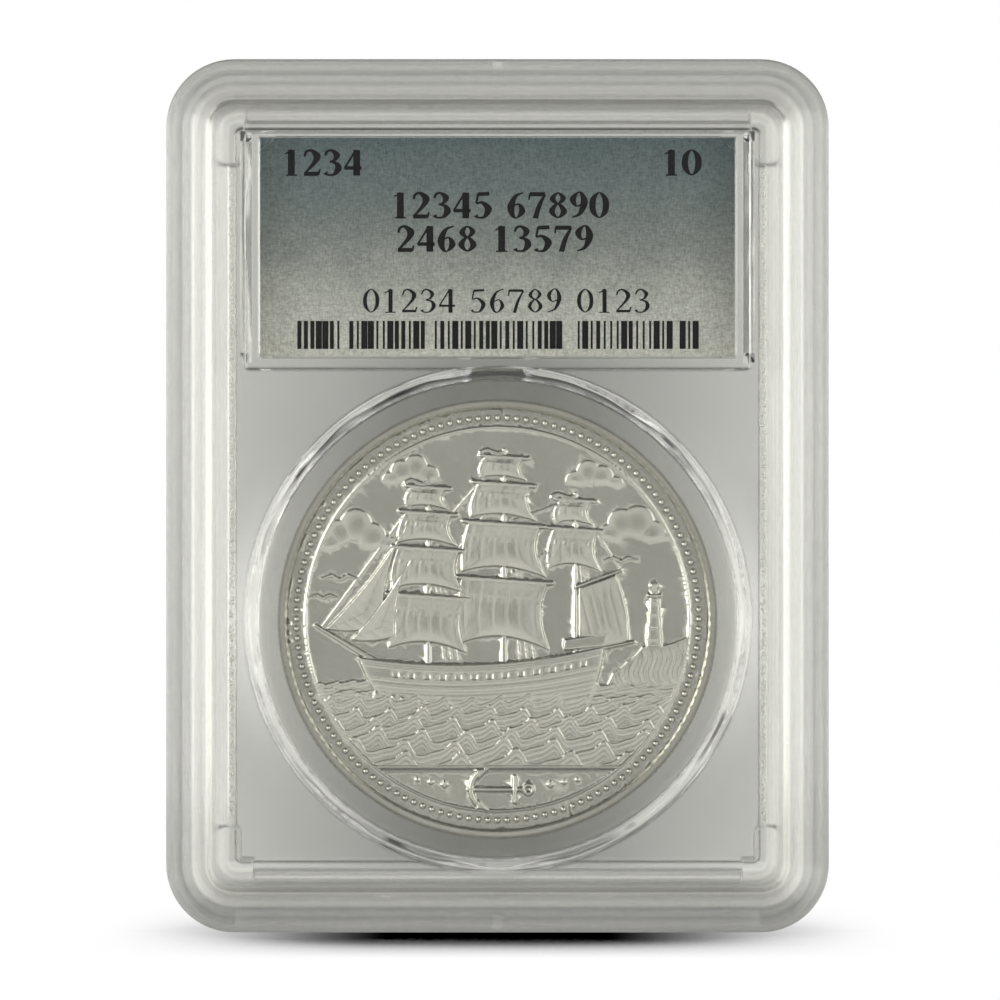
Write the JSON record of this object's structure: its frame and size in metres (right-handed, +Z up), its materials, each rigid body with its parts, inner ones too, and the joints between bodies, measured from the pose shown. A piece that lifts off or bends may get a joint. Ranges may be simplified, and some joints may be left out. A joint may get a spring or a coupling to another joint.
{
  "type": "graded coin slab",
  "caption": "Sealed clear plastic slab that holds a large silver coin in a round seat below a printed paper label, with a raised rim for stacking.",
  "frame": {"origin": "middle of the lower edge that the slab stands on, at its lowest point", "axes": "+X to the right seen from the front, +Y from the front face to the rear face, +Z up along the slab's height"},
  "size_m": [0.0612, 0.0078, 0.0806],
  "materials": {
    "clear_case": "clear moulded polystyrene, glossy windows and finely frosted borders",
    "silver": "satin mint lustre, fine silver",
    "clear_ring": "clear, smooth",
    "label_card": "printed card, blue-grey fading to warm light grey, fine speckle",
    "foil": "bright metallised film with a fine line pattern"
  },
  "bodies": {
    "root": {"front_shell": "clear_case", "rear_shell": "clear_case", "coin": "silver", "coin_ring": "clear_ring", "label": "label_card", "security_foil": "foil"}
  },
  "joints": []
}
